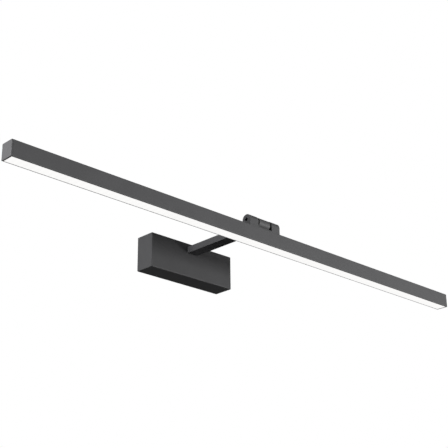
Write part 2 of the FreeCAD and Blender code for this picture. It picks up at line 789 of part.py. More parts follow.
def make_lamp_profile():
    """Extruded aluminium body, open underneath, with ledges for the LED board and the diffuser."""
    x = centred(lamp_length / 2 - cap_thickness - gap)
    outer = block(x, (lamp_front, lamp_back), (lamp_bottom, lamp_top))
    outer = outer.makeFillet(lamp_edge, along(outer, 0))
    inside = (lamp_front + lamp_side, lamp_back - lamp_side)
    hollow = block((x[0] - 1, x[1] + 1), inside, (lamp_bottom - 1, below(lamp_roof)))
    profile = outer.cut(hollow)
    ledges = ((board_bottom + shaft_gap, rail_height, rail_reach), (catch_top, catch_height, catch_reach))
    for top, height, ledge in ledges:
        z = (below(top + height), below(top))
        front = block(x, (inside[0] - 0.2, inside[0] + ledge), z)
        back = block(x, (inside[1] - ledge, inside[1] + 0.2), z)
        profile = profile.fuse([front, back])
    profile = profile.removeSplitter()
    start = (lead_drop, pivot_y, below(lamp_roof + 1))
    profile = profile.cut(rod(start, (0, 0, 1), bush_radius, lamp_roof + 2))
    for side in (-1, 1):
        start = (side * bracket_screw_x, bracket_screw_y, below(lamp_roof + 1))
        profile = profile.cut(rod(start, (0, 0, 1), small_screw_pass, lamp_roof + 2))
        start = (side * bracket_screw_x, bracket_screw_y, below(lamp_roof + 4))
        profile = profile.cut(rod(start, (0, 0, 1), screw_room, 4))
    return profile


def make_end_cap(side):
    """Cast cap with a hollow plug that slides into one end of the profile."""
    outer_x = side * lamp_length / 2
    joint_x = side * (lamp_length / 2 - cap_thickness)
    plate = block(sorted((outer_x, joint_x)), (lamp_front, lamp_back), (lamp_bottom, lamp_top))
    plate = plate.makeFillet(lamp_edge, along(plate, 0))
    plate = plate.makeFillet(0.5, edges_on(plate, 0, outer_x))
    x = sorted((joint_x - side * plug_length, joint_x + side * 0.5))
    inside = (lamp_front + lamp_side + gap, lamp_back - lamp_side - gap)
    z = (below(catch_top - gap), below(board_bottom + shaft_gap + rail_height + gap))
    plug = block(x, inside, z)
    core_y = (inside[0] + plug_wall, inside[1] - plug_wall)
    core = block((x[0] - 1, x[1] + 1), core_y, (z[0] - 1, z[1] - 2.0))
    if side > 0:
        core = core.common(block((x[0] - 1, joint_x), (-500, 500), (-500, 500)))
    else:
        core = core.common(block((joint_x, x[1] + 1), (-500, 500), (-500, 500)))
    return plate.fuse(plug.cut(core)).removeSplitter()


def make_diffuser():
    """Opal strip with two legs that snap over the profile's lower ledges."""
    x = centred(lamp_length / 2 - cap_thickness - gap)
    inside = (lamp_front + lamp_side + gap, lamp_back - lamp_side - gap)
    face_z = lamp_bottom + diffuser_recess
    strip = block(x, inside, (face_z, face_z + diffuser_thickness))
    leg_x = centred(lamp_length / 2 - cap_thickness - plug_length - 1.0)
    leg_top = below(catch_top - gap - hook_height)
    slack = catch_reach + gap
    front = (inside[0] + slack, inside[0] + slack + leg_thickness)
    back = (inside[1] - slack - leg_thickness, inside[1] - slack)
    for leg, hook in ((front, (front[0] - hook_reach, front[1])), (back, (back[0], back[1] + hook_reach))):
        strip = strip.fuse(block(leg_x, leg, (face_z + 0.5, leg_top)))
        strip = strip.fuse(block(leg_x, hook, (below(catch_top - gap), leg_top)))
    return strip.removeSplitter()


def make_led_board():
    """Aluminium-backed circuit board on the roof of the profile."""
    half = lamp_length / 2 - board_end_gap
    board = block(centred(half), about(lamp_mid, board_half_width), (below(board_bottom), below(board_top)))
    return cut_board_holes(board, below(board_bottom + 1))


def cut_board_holes(sheet, start_z):
    """Cut the notches round the bracket screws and the hole for the lead's bush."""
    for side in (-1, 1):
        start = (side * bracket_screw_x, bracket_screw_y, start_z)
        sheet = sheet.cut(rod(start, (0, 0, 1), screw_room, 4))
        notch = block(about(start[0], screw_room), (bracket_screw_y, lamp_back), (start_z, start_z + 4))
        sheet = sheet.cut(notch)
    start = (lead_drop, pivot_y, start_z)
    return sheet.cut(rod(start, (0, 0, 1), bush_radius, 4))


def make_thermal_tape():
    """Heat-conducting tape between the LED board and the profile, in front of the screws."""
    half = lamp_length / 2 - board_end_gap
    y = (lamp_mid - board_half_width + 0.5, bracket_screw_y - screw_room - 0.3)
    return block(centred(half), y, (below(board_top), below(lamp_roof)))


def make_led_chips():
    """Row of LED packages along the middle of the board."""
    z = (below(board_bottom + led_tall), below(board_bottom))
    chips = []
    for k in range(led_count):
        x = led_pitch * (k - (led_count - 1) / 2)
        chips.append(block(about(x, led_half[0]), about(led_row_y, led_half[1]), z))
    return Part.makeCompound(chips)


def make_led_resistors():
    """Small resistors between the LED packages, one to every three."""
    z = (below(board_bottom + resistor_tall), below(board_bottom))
    resistors = []
    for k in range(1, led_count - 1, 3):
        x = led_pitch * (k - (led_count - 1) / 2 + 0.5)
        resistors.append(block(about(x, resistor_half[0]), about(led_row_y, resistor_half[1]), z))
    return Part.makeCompound(resistors)


def make_wire_connector():
    """Low white socket, soldered to the board, that the lead pushes into."""
    z = (below(board_bottom + connector_tall), below(board_bottom))
    body = block(connector_x, about(pivot_y, connector_half), z)
    body = body.makeFillet(0.4, edges_on(body, 2, z[0]))
    start = (connector_x[0] - 1, pivot_y, below(board_bottom + connector_tall / 2))
    return body.cut(rod(start, (1, 0, 0), lead_radius + shaft_gap, 5))


def make_lead_bush():
    """Bush that guards the lead where it passes through the roof and the board."""
    height = board_bottom - gap
    start = (lead_drop, pivot_y, below(board_bottom))
    return ring(start, (0, 0, 1), bush_radius - gap, lead_radius + gap, height)


def make_bracket_screws():
    """Two screws from inside the profile up into the hinge saddle's ears."""
    screws = []
    for side in (-1, 1):
        seat = (side * bracket_screw_x, bracket_screw_y, below(lamp_roof + saddle_washer))
        screws.append(pan_screw(seat, (0, 0, 1), small_screw_radius, saddle_head, 8.0))
    return Part.makeCompound(screws)


def make_bracket_washers():
    """Plain washers under the bracket screws' heads."""
    washers = []
    for side in (-1, 1):
        start = (side * bracket_screw_x, bracket_screw_y, below(lamp_roof + saddle_washer))
        outer = saddle_head[0] + gap
        washers.append(ring(start, (0, 0, 1), outer, small_screw_radius + gap, saddle_washer))
    return Part.makeCompound(washers)


# Leads through the arm and the hinge ------------------------------------------------------

def make_arm_lead():
    """Two-core lead from the driver, up inside the box, along the arm and into the hollow pivot."""
    points = [
        (driver_x[1] - driver_wall - 0.8, driver_wire_y, driver_exit),
        (lead_rise_x, driver_wire_y, driver_exit),
        (lead_rise_x, -15.0, 13.0),
        (20.0, lead_cross_y, pivot_z),
        (0.0, lead_cross_y, pivot_z),
        (0.0, pivot_y, pivot_z),
        (slot_half_width, pivot_y, pivot_z),
    ]
    return swept_lead(points, lead_radius, (5.5, 9.0, 40.0, 10.0, lead_bend), "arm_lead")


def make_lamp_lead():
    """The lead's last stretch: out of the hollow pivot, down the ear and along to the connector."""
    z = below(board_bottom + connector_tall / 2)
    points = [
        (slot_half_width, pivot_y, pivot_z),
        (lead_drop, pivot_y, pivot_z),
        (lead_drop, pivot_y, z),
        (connector_x[0] + 3.5, pivot_y, z),
    ]
    return swept_lead(points, lead_radius, (lead_bend, 1.8), "lamp_lead")


# Writing ----------------------------------------------------------------------------------

makers = {
    "wall_bracket": make_wall_bracket,
    "cable_grommet": make_cable_grommet,
    "box_cover": make_box_cover,
    "cover_screws": make_cover_screws,
    "terminal_block": make_terminal_block,
    "terminal_screws": make_terminal_screws,
    "terminal_fixing_screw": make_terminal_fixing_screw,
    "earth_screw": make_earth_screw,
    "earth_washer": make_earth_washer,
    "earth_lug": make_earth_lug,
    "earth_wire": make_earth_wire,
    "live_wire": make_live_wire,
    "neutral_wire": make_neutral_wire,
    "driver_case": make_driver_case,
    "driver_lid": make_driver_lid,
    "driver_board": make_driver_board,
    "driver_transformer": make_driver_transformer,
    "driver_winding": make_driver_winding,
    "driver_capacitors": make_driver_capacitors,
    "driver_tape": make_driver_tape,
    "arm_tube": make_arm_tube,
    "arm_foot": make_arm_foot,
    "arm_backing_plate": make_arm_backing_plate,
    "arm_screws": make_arm_screws,
    "arm_spring_washers": make_arm_spring_washers,
    "arm_grub_screws": make_arm_grub_screws,
    "arm_grommet": make_arm_grommet,
    "arm_lead": make_arm_lead,
    "hinge_knuckle": make_hinge_knuckle,
    "hollow_pivot": make_hollow_pivot,
    "friction_washers": make_friction_washers,
    "hinge_bracket": make_hinge_bracket,
    "pivot_screw": make_pivot_screw,
    "wave_washer": make_wave_washer,
    "spacer_washer": make_spacer_washer,
    "lamp_profile": make_lamp_profile,
    "end_cap_left": lambda: make_end_cap(-1),
    "end_cap_right": lambda: make_end_cap(1),
    "diffuser": make_diffuser,
    "led_board": make_led_board,
    "thermal_tape": make_thermal_tape,
    "led_chips": make_led_chips,
    "led_resistors": make_led_resistors,
    "wire_connector": make_wire_connector,
    "lead_bush": make_lead_bush,
    "bracket_screws": make_bracket_screws,
    "bracket_washers": make_bracket_washers,
    "lamp_lead": make_lamp_lead,
}

os.makedirs(out_folder, exist_ok=True)
for node, make in makers.items():
    shape = make()
    solids = shape.Solids
    if not shape.isValid() or not solids:
        raise ValueError(f"{node} is not a valid solid")
    if len(solids) > 1 and shape.ShapeType != "Compound":
        raise ValueError(f"{node} fell into {len(solids)} pieces")
    shape.exportStep(os.path.join(out_folder, node + ".step"))
    print(f"{node}: {len(solids)} solid(s), {shape.Volume:.1f} mm3")
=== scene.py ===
import json
import math
import bpy
import bmesh
from mathutils import Matrix, Vector


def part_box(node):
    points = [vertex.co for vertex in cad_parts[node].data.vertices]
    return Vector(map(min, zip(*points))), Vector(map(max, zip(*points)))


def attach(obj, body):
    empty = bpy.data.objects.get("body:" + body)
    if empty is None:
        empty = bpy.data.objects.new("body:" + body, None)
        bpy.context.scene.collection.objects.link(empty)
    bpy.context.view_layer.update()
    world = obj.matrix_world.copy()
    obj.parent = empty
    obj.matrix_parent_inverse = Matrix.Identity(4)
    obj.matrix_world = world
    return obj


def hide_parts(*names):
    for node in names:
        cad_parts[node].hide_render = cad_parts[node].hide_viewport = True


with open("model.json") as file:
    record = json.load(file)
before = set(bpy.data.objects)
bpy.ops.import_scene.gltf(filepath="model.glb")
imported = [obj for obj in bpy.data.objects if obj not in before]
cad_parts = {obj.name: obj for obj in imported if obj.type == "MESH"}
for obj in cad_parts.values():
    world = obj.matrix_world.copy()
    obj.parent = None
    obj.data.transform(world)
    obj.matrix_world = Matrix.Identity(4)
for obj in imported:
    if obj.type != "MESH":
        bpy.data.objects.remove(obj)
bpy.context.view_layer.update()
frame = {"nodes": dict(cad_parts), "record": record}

nodes = frame["nodes"]
mm = 0.001
print("picture light: frame loaded,", len(nodes), "nodes")


# small helpers for node trees
def link(tree, fromSocket, toSocket):
    tree.links.new(fromSocket, toSocket)


def addNode(tree, kind, **settings):
    node = tree.nodes.new(kind)
    for key, value in settings.items():
        setattr(node, key, value)
    return node


def newMaterial(name):
    material = bpy.data.materials.new(name)
    material.use_nodes = True
    tree = material.node_tree
    tree.nodes.clear()
    shader = addNode(tree, "ShaderNodeBsdfPrincipled")
    output = addNode(tree, "ShaderNodeOutputMaterial")
    link(tree, shader.outputs["BSDF"], output.inputs["Surface"])
    place = addNode(tree, "ShaderNodeTexCoord")
    return material, tree, shader, place.outputs["Object"]


def noise(tree, coords, scale, detail=2.0, roughness=0.5, stretch=None):
    if stretch:
        mapping = addNode(tree, "ShaderNodeMapping")
        mapping.inputs["Scale"].default_value = stretch
        link(tree, coords, mapping.inputs["Vector"])
        coords = mapping.outputs["Vector"]
    texture = addNode(tree, "ShaderNodeTexNoise")
    texture.inputs["Scale"].default_value = scale
    texture.inputs["Detail"].default_value = detail
    texture.inputs["Roughness"].default_value = roughness
    link(tree, coords, texture.inputs["Vector"])
    return texture.outputs["Fac"]


def remap(tree, value, low, high, fromLow=0.3, fromHigh=0.7):
    node = addNode(tree, "ShaderNodeMapRange")
    node.inputs["From Min"].default_value = fromLow
    node.inputs["From Max"].default_value = fromHigh
    node.inputs["To Min"].default_value = low
    node.inputs["To Max"].default_value = high
    link(tree, value, node.inputs["Value"])
    return node.outputs["Result"]


def twoTone(tree, value, dark, light):
    node = addNode(tree, "ShaderNodeMix", data_type="RGBA")
    node.inputs["A"].default_value = (*dark, 1)
    node.inputs["B"].default_value = (*light, 1)
    link(tree, value, node.inputs["Factor"])
    return node.outputs["Result"]


def mathNode(tree, operation, first, second=0.0):
    node = addNode(tree, "ShaderNodeMath", operation=operation)
    for index, value in enumerate((first, second)):
        if isinstance(value, (int, float)):
            node.inputs[index].default_value = value
        else:
            link(tree, value, node.inputs[index])
    return node.outputs["Value"]


def bump(tree, shader, height, strength, distance):
    node = addNode(tree, "ShaderNodeBump")
    node.inputs["Strength"].default_value = strength
    node.inputs["Distance"].default_value = distance
    link(tree, height, node.inputs["Height"])
    link(tree, node.outputs["Normal"], shader.inputs["Normal"])


# the wall box's and the arm tube's coats are the lamp's black made about half as light: partly a different
# finish, partly painted shade for the box and arm lying back and under the lit bar; the knuckle on the same
# arm keeps the lamp's tone
powderCoats = {
    "lampCoat": {"dark": (0.09, 0.09, 0.093), "light": (0.1, 0.1, 0.103), "rough": (0.48, 0.58)},
    "boxCoatShaded": {"dark": (0.049, 0.049, 0.051), "light": (0.056, 0.056, 0.058), "rough": (0.5, 0.6)},
    "armCoatShaded": {"dark": (0.046, 0.046, 0.048), "light": (0.053, 0.053, 0.055), "rough": (0.48, 0.58)},
    # the hinge coat's end-shade factor paints shade onto the hinge's end faces
    "hingeCoat": {
        "dark": (0.09, 0.09, 0.093), "light": (0.102, 0.102, 0.105), "rough": (0.5, 0.6), "paintedEndShade": 0.5,
    },
    "knuckleCoat": {"dark": (0.09, 0.09, 0.092), "light": (0.102, 0.102, 0.104), "rough": (0.55, 0.65)},
}


grainDepth = 0.1 * mm  # how deep the grain of metal and plastic is
powderTexture = {
    "mottleScale": 45.0, "grainScale": 1400.0, "peelScale": 520.0, "peelStrength": 0.18,
    "peelDepth": 0.2 * mm, "specular": 0.42, "endStarts": 0.6, "endFull": 0.95,
}


def powderCoat(name, dark, light, rough, paintedEndShade=1.0):
    # fine orange peel over a soft mottle, as sprayed powder leaves; faces across the bar can be darker, a
    # painted shade standing in for the shade on the end faces
    material, tree, shader, coords = newMaterial(name)
    mottle = noise(tree, coords, powderTexture["mottleScale"], 3.0)
    grain = noise(tree, coords, powderTexture["grainScale"], 2.0, 0.6)
    peel = noise(tree, coords, powderTexture["peelScale"], 1.0)
    tone = twoTone(tree, remap(tree, mottle, 0.0, 1.0), dark, light)
    # painted shade: faces whose normals run along X are darkened by the end-shade factor, standing in for
    # the shade the end faces get from the light
    if paintedEndShade < 1:
        facing = addNode(tree, "ShaderNodeSeparateXYZ")
        link(tree, coords.node.outputs["Normal"], facing.inputs["Vector"])
        endwise = mathNode(tree, "ABSOLUTE", facing.outputs["X"])
        shade = remap(tree, endwise, 1.0, paintedEndShade, powderTexture["endStarts"], powderTexture["endFull"])
        paintedEndDarkening = addNode(tree, "ShaderNodeMix", data_type="RGBA", blend_type="MULTIPLY")
        paintedEndDarkening.inputs["Factor"].default_value = 1.0
        link(tree, tone, paintedEndDarkening.inputs["A"])
        link(tree, shade, paintedEndDarkening.inputs["B"])
        tone = paintedEndDarkening.outputs["Result"]
    link(tree, tone, shader.inputs["Base Color"])
    link(tree, remap(tree, grain, *rough), shader.inputs["Roughness"])
    bump(tree, shader, peel, powderTexture["peelStrength"], powderTexture["peelDepth"])
    shader.inputs["Specular IOR Level"].default_value = powderTexture["specular"]
    return material


def plainMetal(name, tint, rough, grainScale, stretch=None, darkening=0.75, relief=0.1):
    # turned or rolled metal with a drawn grain
    material, tree, shader, coords = newMaterial(name)
    grain = noise(tree, coords, grainScale, 3.0, 0.6, stretch)
    shade = tuple(channel * darkening for channel in tint)
    link(tree, twoTone(tree, remap(tree, grain, 0.0, 1.0), shade, tint), shader.inputs["Base Color"])
    link(tree, remap(tree, grain, *rough), shader.inputs["Roughness"])
    bump(tree, shader, grain, relief, grainDepth)
    shader.inputs["Metallic"].default_value = 1.0
    return material


def mouldedPlastic(name, tint, rough, grainScale=300.0, spread=0.88, cloudScale=60.0, relief=0.12):
    # moulded plastic, rubber, tape or board: a soft cloud in the colour under a fine grain
    material, tree, shader, coords = newMaterial(name)
    cloud = noise(tree, coords, cloudScale, 2.0)
    grain = noise(tree, coords, grainScale, 2.0, 0.55)
    shade = tuple(channel * spread for channel in tint)
    link(tree, twoTone(tree, remap(tree, cloud, 0.0, 1.0), shade, tint), shader.inputs["Base Color"])
    link(tree, remap(tree, grain, *rough), shader.inputs["Roughness"])
    bump(tree, shader, grain, relief, grainDepth)
    return material


def opalGlow(name, tint, strength, ledPitch, ripple, cloudScale=30.0, cloudReach=0.6, glowReach=1.5):
    # lit acrylic: nearly even, with a faint swell under each LED and a soft cloud in the resin
    material, tree, shader, coords = newMaterial(name)
    axes = addNode(tree, "ShaderNodeSeparateXYZ")
    link(tree, coords, axes.inputs["Vector"])
    swell = mathNode(tree, "COSINE", mathNode(tree, "MULTIPLY", axes.outputs["X"], math.tau / ledPitch))
    cloud = noise(tree, coords, cloudScale, 2.0)
    both = mathNode(tree, "ADD", swell, remap(tree, cloud, -cloudReach, cloudReach))
    glow = remap(tree, both, strength * (1 - ripple), strength * (1 + ripple), -glowReach, glowReach)
    link(tree, glow, shader.inputs["Emission Strength"])
    shader.inputs["Emission Color"].default_value = (*tint, 1)
    link(tree, twoTone(tree, cloud, (0.38, 0.38, 0.375), (0.42, 0.42, 0.415)), shader.inputs["Base Color"])
    link(tree, remap(tree, cloud, 0.38, 0.5), shader.inputs["Roughness"])
    return material


def stripedWire(name, base, stripe, stripeScale=90.0, grainScale=400.0):
    # two-colour insulation, the second colour as a spiral stripe
    material, tree, shader, coords = newMaterial(name)
    wave = addNode(tree, "ShaderNodeTexWave", wave_type="BANDS", bands_direction="DIAGONAL")
    wave.inputs["Scale"].default_value = stripeScale
    link(tree, coords, wave.inputs["Vector"])
    band = remap(tree, wave.outputs["Fac"], 0.0, 1.0, 0.45, 0.55)
    link(tree, twoTone(tree, band, base, stripe), shader.inputs["Base Color"])
    link(tree, remap(tree, noise(tree, coords, grainScale), 0.32, 0.45), shader.inputs["Roughness"])
    return material


opalLight = {"tint": (1.0, 0.995, 0.985), "strength": 0.86, "ledPitch": 8.4 * mm, "ripple": 0.02}
finishes = {name: powderCoat(name, **coat) for name, coat in powderCoats.items()}
finishes.update({
    "blackScrew": plainMetal("blackScrew", (0.07, 0.07, 0.075), (0.35, 0.5), 900.0),
    "zincSteel": plainMetal("zincSteel", (0.62, 0.62, 0.6), (0.26, 0.4), 60.0, (1, 8, 8)),
    "turnedSteel": plainMetal("turnedSteel", (0.55, 0.55, 0.56), (0.22, 0.34), 80.0, (30, 1, 1)),
    "springSteel": plainMetal("springSteel", (0.32, 0.31, 0.31), (0.3, 0.42), 500.0),
    "tinnedCopper": plainMetal("tinnedCopper", (0.72, 0.71, 0.69), (0.25, 0.38), 400.0),
    "brassPlain": plainMetal("brassPlain", (0.78, 0.58, 0.26), (0.24, 0.38), 300.0),
    "blackRubber": mouldedPlastic("blackRubber", (0.03, 0.03, 0.03), (0.7, 0.82)),
    "blackNylon": mouldedPlastic("blackNylon", (0.035, 0.035, 0.036), (0.5, 0.62)),
    "whiteNylon": mouldedPlastic("whiteNylon", (0.8, 0.8, 0.77), (0.42, 0.55)),
    "blackSheath": mouldedPlastic("blackSheath", (0.03, 0.03, 0.032), (0.38, 0.5), 200.0),
    "brownWire": mouldedPlastic("brownWire", (0.24, 0.11, 0.05), (0.34, 0.46)),
    "blueWire": mouldedPlastic("blueWire", (0.07, 0.18, 0.55), (0.34, 0.46)),
    "earthStripe": stripedWire("earthStripe", (0.12, 0.42, 0.08), (0.75, 0.68, 0.06)),
    "greenBoard": mouldedPlastic("greenBoard", (0.03, 0.22, 0.08), (0.25, 0.38), 150.0),
    "whiteBoard": mouldedPlastic("whiteBoard", (0.84, 0.84, 0.82), (0.3, 0.42), 150.0),
    "ferrite": mouldedPlastic("ferrite", (0.07, 0.068, 0.065), (0.55, 0.7), 700.0),
    "windingTape": mouldedPlastic("windingTape", (0.82, 0.62, 0.1), (0.3, 0.4)),
    "canSleeve": mouldedPlastic("canSleeve", (0.04, 0.05, 0.09), (0.28, 0.38)),
    "foamTape": mouldedPlastic("foamTape", (0.75, 0.75, 0.73), (0.8, 0.9), 1200.0, 0.8),
    "thermalPad": mouldedPlastic("thermalPad", (0.48, 0.5, 0.54), (0.6, 0.72)),
    "ledPackage": mouldedPlastic("ledPackage", (0.86, 0.86, 0.83), (0.35, 0.45)),
    "ledPhosphor": mouldedPlastic("ledPhosphor", (0.9, 0.72, 0.16), (0.2, 0.3)),
    "resistorBody": mouldedPlastic("resistorBody", (0.03, 0.03, 0.03), (0.3, 0.4)),
    "solderTin": plainMetal("solderTin", (0.7, 0.7, 0.7), (0.2, 0.32), 600.0),
    "opalDiffuser": opalGlow("opalDiffuser", **opalLight),
})
print("finishes:", len(finishes))

# which finish each record slot takes, and the pieces that stand apart from their slot
slotFinish = {
    "black_paint": "boxCoatShaded", "black_anodised": "lampCoat", "black_screw": "blackScrew",
    "zinc_steel": "zincSteel", "bare_steel": "turnedSteel", "spring_steel": "springSteel",
    "tinned_metal": "tinnedCopper", "brass_metal": "brassPlain", "black_rubber": "blackRubber",
    "black_nylon": "blackNylon", "black_nylon_washer": "blackScrew", "white_nylon": "whiteNylon",
    "green_wire": "earthStripe", "brown_wire": "brownWire", "blue_wire": "blueWire",
    "black_lead": "blackSheath", "board_green": "greenBoard", "board_white": "whiteBoard",
    "ferrite": "ferrite", "yellow_tape": "windingTape", "can_sleeve": "canSleeve",
    "foam_tape": "foamTape", "grey_tape": "thermalPad", "opal_diffuser": "opalDiffuser",
    "led_package": "ledPackage", "resistor_black": "resistorBody",
}
ownFinish = {
    "arm_tube": "armCoatShaded", "hinge_knuckle": "knuckleCoat", "hinge_bracket": "hingeCoat",
    "end_cap_left": "lampCoat", "end_cap_right": "lampCoat",
}
nodeSlot = {part["node"]: part["material_slot"] for part in frame["record"]["subparts"]}
bodyOf = {
    node: body
    for body, members in frame["record"]["behaviour"]["bodies"].items()
    for node in members
}


def finishOf(node):
    return finishes[ownFinish.get(node, slotFinish[nodeSlot[node]])]


for node, piece in nodes.items():
    piece.data.materials.clear()
    piece.data.materials.append(finishOf(node))


shellFinish = {"joinWithin": 0.002 * mm, "flatWithin": 0.4, "sharpAngle": 28}  # angles in degrees


# painted shells have the same shape with joined faces, so that their rounded edges shade smoothly
def smoothShell(pieceName, node):
    mesh = nodes[node].data.copy()
    mesh.name = pieceName
    shell = bmesh.new()
    shell.from_mesh(mesh)
    bmesh.ops.remove_doubles(shell, verts=shell.verts, dist=shellFinish["joinWithin"])
    flatWithin = math.radians(shellFinish["flatWithin"])
    bmesh.ops.dissolve_limit(shell, angle_limit=flatWithin, verts=shell.verts, edges=shell.edges)
    bmesh.ops.triangulate(shell, faces=[face for face in shell.faces if len(face.verts) > 4])
    shell.to_mesh(mesh)
    shell.free()
    mesh.shade_smooth()
    mesh.set_sharp_from_angle(angle=math.radians(shellFinish["sharpAngle"]))
    piece = bpy.data.objects.new(pieceName, mesh)
    bpy.context.scene.collection.objects.link(piece)
    weighted = piece.modifiers.new("weightedNormal", "WEIGHTED_NORMAL")
    weighted.keep_sharp = True
    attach(piece, bodyOf[node])
    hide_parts(node)
    return piece


paintedShells = {
    "boxCoverShell": "box_cover", "armTubeShell": "arm_tube", "armKnuckle": "hinge_knuckle",
    "hingeSaddle": "hinge_bracket", "lampExtrusion": "lamp_profile",
    "endCapLeft": "end_cap_left", "endCapRight": "end_cap_right",
}
for pieceName, node in paintedShells.items():
    smoothShell(pieceName, node)
print("painted shells:", len(paintedShells))


def nodeTree(name, sizes):
    tree = bpy.data.node_groups.new(name, "GeometryNodeTree")
    tree.interface.new_socket("Geometry", in_out="OUTPUT", socket_type="NodeSocketGeometry")
    for label, kind in sizes.items():
        tree.interface.new_socket(label, in_out="INPUT", socket_type="NodeSocket" + kind)
    entry = addNode(tree, "NodeGroupInput")
    leave = addNode(tree, "NodeGroupOutput")
    return tree, entry.outputs, leave


def finishTree(tree, geometry, material, leave):
    # every tree ends the same way: real geometry, then its finish
    real = addNode(tree, "GeometryNodeRealizeInstances")
    paint = addNode(tree, "GeometryNodeSetMaterial")
    link(tree, geometry, real.inputs["Geometry"])
    link(tree, real.outputs["Geometry"], paint.inputs["Geometry"])
    link(tree, material, paint.inputs["Material"])
    link(tree, paint.outputs["Geometry"], leave.inputs["Geometry"])


def growPiece(pieceName, tree, values, body, standsFor=None, smooth=None):
    # runs a tree on an empty mesh and keeps its result as a plain one
    seed = bpy.data.objects.new(pieceName + "Seed", bpy.data.meshes.new(pieceName + "Seed"))
    bpy.context.scene.collection.objects.link(seed)
    modifier = seed.modifiers.new("grow", "NODES")
    modifier.node_group = tree
    for socket in tree.interface.items_tree:
        if socket.in_out == "INPUT" and socket.name in values:
            modifier[socket.identifier] = values[socket.name]
    bpy.context.view_layer.update()
    grown = seed.evaluated_get(bpy.context.evaluated_depsgraph_get())
    mesh = bpy.data.meshes.new_from_object(grown)
    bpy.data.objects.remove(seed)
    mesh.name = pieceName
    if smooth is not None:
        mesh.shade_smooth()
        mesh.set_sharp_from_angle(angle=math.radians(smooth))
    piece = bpy.data.objects.new(pieceName, mesh)
    bpy.context.scene.collection.objects.link(piece)
    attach(piece, body)
    if standsFor:
        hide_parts(standsFor)
    return piece


def vectorNode(tree, x=0.0, y=0.0, z=0.0):
    node = addNode(tree, "ShaderNodeCombineXYZ")
    for label, value in (("X", x), ("Y", y), ("Z", z)):
        if isinstance(value, (int, float)):
            node.inputs[label].default_value = value
        else:
            link(tree, value, node.inputs[label])
    return node.outputs["Vector"]


def chipRowTree():
    # a row of small rounded-corner blocks hanging from a board: LED packages, windows, resistors, pads
    tree, sizes, leave = nodeTree("chipRow", {
        "Start": "Vector", "Pitch": "Float", "Count": "Int", "Long": "Float", "Wide": "Float",
        "Tall": "Float", "Corner": "Float", "Finish": "Material",
    })
    outline = addNode(tree, "GeometryNodeCurvePrimitiveQuadrilateral", mode="RECTANGLE")
    link(tree, sizes["Long"], outline.inputs["Width"])
    link(tree, sizes["Wide"], outline.inputs["Height"])
    rounded = addNode(tree, "GeometryNodeFilletCurve", mode="POLY")
    rounded.inputs["Count"].default_value = 2
    link(tree, outline.outputs["Curve"], rounded.inputs["Curve"])
    link(tree, sizes["Corner"], rounded.inputs["Radius"])
    underside = addNode(tree, "GeometryNodeFillCurve", mode="NGONS")
    link(tree, rounded.outputs["Curve"], underside.inputs["Curve"])
    raised = addNode(tree, "GeometryNodeExtrudeMesh", mode="FACES")
    raised.inputs["Individual"].default_value = False
    link(tree, underside.outputs["Mesh"], raised.inputs["Mesh"])
    link(tree, vectorNode(tree, z=mathNode(tree, "MULTIPLY", sizes["Tall"], -1.0)), raised.inputs["Offset"])
    lid = addNode(tree, "GeometryNodeFlipFaces")
    link(tree, underside.outputs["Mesh"], lid.inputs["Mesh"])
    both = addNode(tree, "GeometryNodeJoinGeometry")
    link(tree, raised.outputs["Mesh"], both.inputs["Geometry"])
    link(tree, lid.outputs["Mesh"], both.inputs["Geometry"])
    closed = addNode(tree, "GeometryNodeMergeByDistance")
    closed.inputs["Distance"].default_value = 0.001 * mm
    link(tree, both.outputs["Geometry"], closed.inputs["Geometry"])
    row = addNode(tree, "GeometryNodeMeshLine", mode="OFFSET")
    link(tree, sizes["Count"], row.inputs["Count"])
    link(tree, sizes["Start"], row.inputs["Start Location"])
    link(tree, vectorNode(tree, x=sizes["Pitch"]), row.inputs["Offset"])
    copies = addNode(tree, "GeometryNodeInstanceOnPoints")
    link(tree, row.outputs["Mesh"], copies.inputs["Points"])
    link(tree, closed.outputs["Geometry"], copies.inputs["Instance"])
    finishTree(tree, copies.outputs["Instances"], sizes["Finish"], leave)
    return tree


# shares of the head's radius and height, and of the shank's radius and length;
# a head band has its lower and upper radius, then its lower and upper height
screwForm = {
    "headBands": ((1.0, 1.0, 0.0, 0.5), (1.0, 0.94, 0.48, 0.78), (0.95, 0.78, 0.76, 1.0)), "headSides": 28,
    "recessLong": 1.05, "recessWide": 0.26, "recessDeep": 1.2, "coreSides": 24, "coreRadius": 0.84,
    "threadLong": 0.92, "threadDrop": 0.96, "ridge": 0.15, "ridgeSides": 4, "helixSteps": 20,
}


